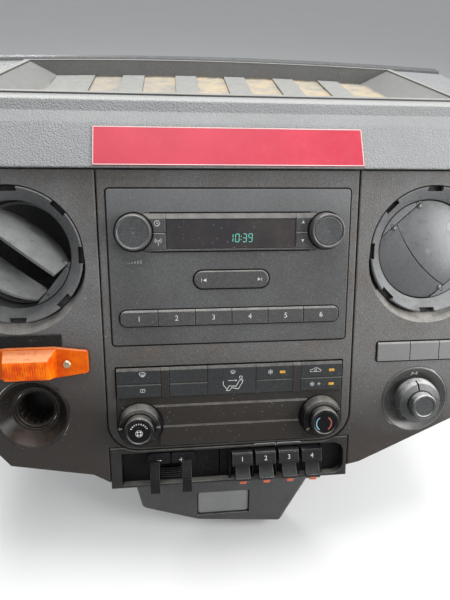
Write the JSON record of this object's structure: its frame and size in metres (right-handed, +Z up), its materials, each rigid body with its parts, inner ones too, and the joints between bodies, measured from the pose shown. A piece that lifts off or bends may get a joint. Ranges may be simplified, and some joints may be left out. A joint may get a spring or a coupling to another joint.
{
  "type": "truck dashboard centre section",
  "caption": "Raked truck dashboard centre with radio, climate controls, switch strip, turning round air vents and an open tray in its padded top.",
  "frame": {"origin": "centre of the four bolts that hold the two rear brackets to the beam behind the dashboard", "axes": "+X to the right of someone facing the dashboard, +Y away from them towards the windscreen, +Z up"},
  "size_m": [0.57, 0.4103, 0.4668],
  "materials": {
    "face_plastic": "grained, dusty charcoal",
    "pad_skin": "leather-grained soft skin, dusty on top",
    "tray_plastic": "grained, dirty in the channels",
    "rail_black": "satin black",
    "plate_red": "engraved two-ply sheet, crimson on white",
    "radio_plastic": "fine satin",
    "display_gloss": "gloss black window",
    "key_plastic": "satin, rubbed edges",
    "knob_plastic": "satin, worn rims",
    "vent_plastic": "satin grey",
    "climate_plastic": "fine satin, dusty",
    "switch_black": "satin black",
    "tip_orange": "orange-red mark",
    "lens_amber": "moulded amber lens",
    "label_black": "bare black tape",
    "bowl_black": "satin black",
    "duct_grey": "plain pale grey moulding",
    "housing_black": "plain black moulding",
    "case_steel": "zinc-plated sheet",
    "bracket_steel": "black e-coated steel"
  },
  "bodies": {
    "root": {"aux_switch_tips": "tip_orange", "aux_switches": "switch_black", "beam_bracket_left": "bracket_steel", "beam_bracket_right": "bracket_steel", "brake_control": "switch_black", "brake_levers": "switch_black", "carrier_cheek_left": "housing_black", "carrier_cheek_right": "housing_black", "carrier_rail": "housing_black", "centre_panel": "face_plastic", "climate_buttons": "key_plastic", "climate_face": "climate_plastic", "climate_housing": "housing_black", "drive_bowl": "bowl_black", "drive_knob": "knob_plastic", "fan_knob": "knob_plastic", "floor_duct": "duct_grey", "height_plate": "plate_red", "key_row": "key_plastic", "lamp_base": "lens_amber", "lamp_label": "label_black", "lamp_lens": "lens_amber", "left_panel": "face_plastic", "left_vent_duct": "housing_black", "left_vent_ring": "vent_plastic", "preset_buttons": "key_plastic", "radio_chassis": "case_steel", "radio_display": "display_gloss", "radio_face": "radio_plastic", "radio_keys": "key_plastic", "rear_rail": "rail_black", "right_panel": "face_plastic", "right_vent_duct": "housing_black", "right_vent_ring": "vent_plastic", "seek_rocker": "key_plastic", "socket_bowl": "bowl_black", "socket_sleeve": "bowl_black", "switch_carrier": "switch_black", "switch_panel": "face_plastic", "temperature_knob": "knob_plastic", "top_pad": "pad_skin", "tray_liner": "tray_plastic", "tune_knob": "knob_plastic", "volume_knob": "knob_plastic"},
    "left_vent_barrel": {"left_vent_barrel": "vent_plastic"},
    "left_vent_main_blade": {"left_vent_main_blade": "vent_plastic"},
    "left_vent_minor_blade": {"left_vent_minor_blade": "vent_plastic"},
    "right_vent_barrel": {"right_vent_barrel": "vent_plastic"},
    "right_vent_main_blade": {"right_vent_main_blade": "vent_plastic"},
    "right_vent_minor_blade": {"right_vent_minor_blade": "vent_plastic"}
  },
  "joints": [
    {"name": "left_vent_turn", "type": "hinge", "parent": "root", "child": "left_vent_barrel", "pos_m": [-0.2055, -0.17582, 0.02339], "axis": [0, -0.891, 0.454], "continuous": true},
    {"name": "left_vent_tilt", "type": "hinge", "parent": "left_vent_barrel", "child": "left_vent_main_blade", "pos_m": [-0.19228, -0.17572, 0.04166], "axis": [-0.7771, 0.2857, 0.5607], "range_deg": [-72, 8]},
    {"name": "left_vent_minor_tilt", "type": "hinge", "parent": "left_vent_barrel", "child": "left_vent_minor_blade", "pos_m": [-0.21368, -0.18772, 0.01812], "axis": [-0.7771, 0.2857, 0.5607], "range_deg": [-72, 8]},
    {"name": "right_vent_turn", "type": "hinge", "parent": "root", "child": "right_vent_barrel", "pos_m": [0.2055, -0.17582, 0.02339], "axis": [0, -0.891, 0.454], "continuous": true},
    {"name": "right_vent_tilt", "type": "hinge", "parent": "right_vent_barrel", "child": "right_vent_main_blade", "pos_m": [0.22135, -0.17688, 0.03939], "axis": [-0.6561, 0.3426, 0.6725], "range_deg": [0, 80]},
    {"name": "right_vent_minor_tilt", "type": "hinge", "parent": "right_vent_barrel", "child": "right_vent_minor_blade", "pos_m": [0.19569, -0.187, 0.01952], "axis": [-0.6561, 0.3426, 0.6725], "range_deg": [0, 80]}
  ],
  "couplings": [
    {"joint": "left_vent_minor_tilt", "follows": "left_vent_tilt", "ratio": 1},
    {"joint": "right_vent_minor_tilt", "follows": "right_vent_tilt", "ratio": 1}
  ]
}
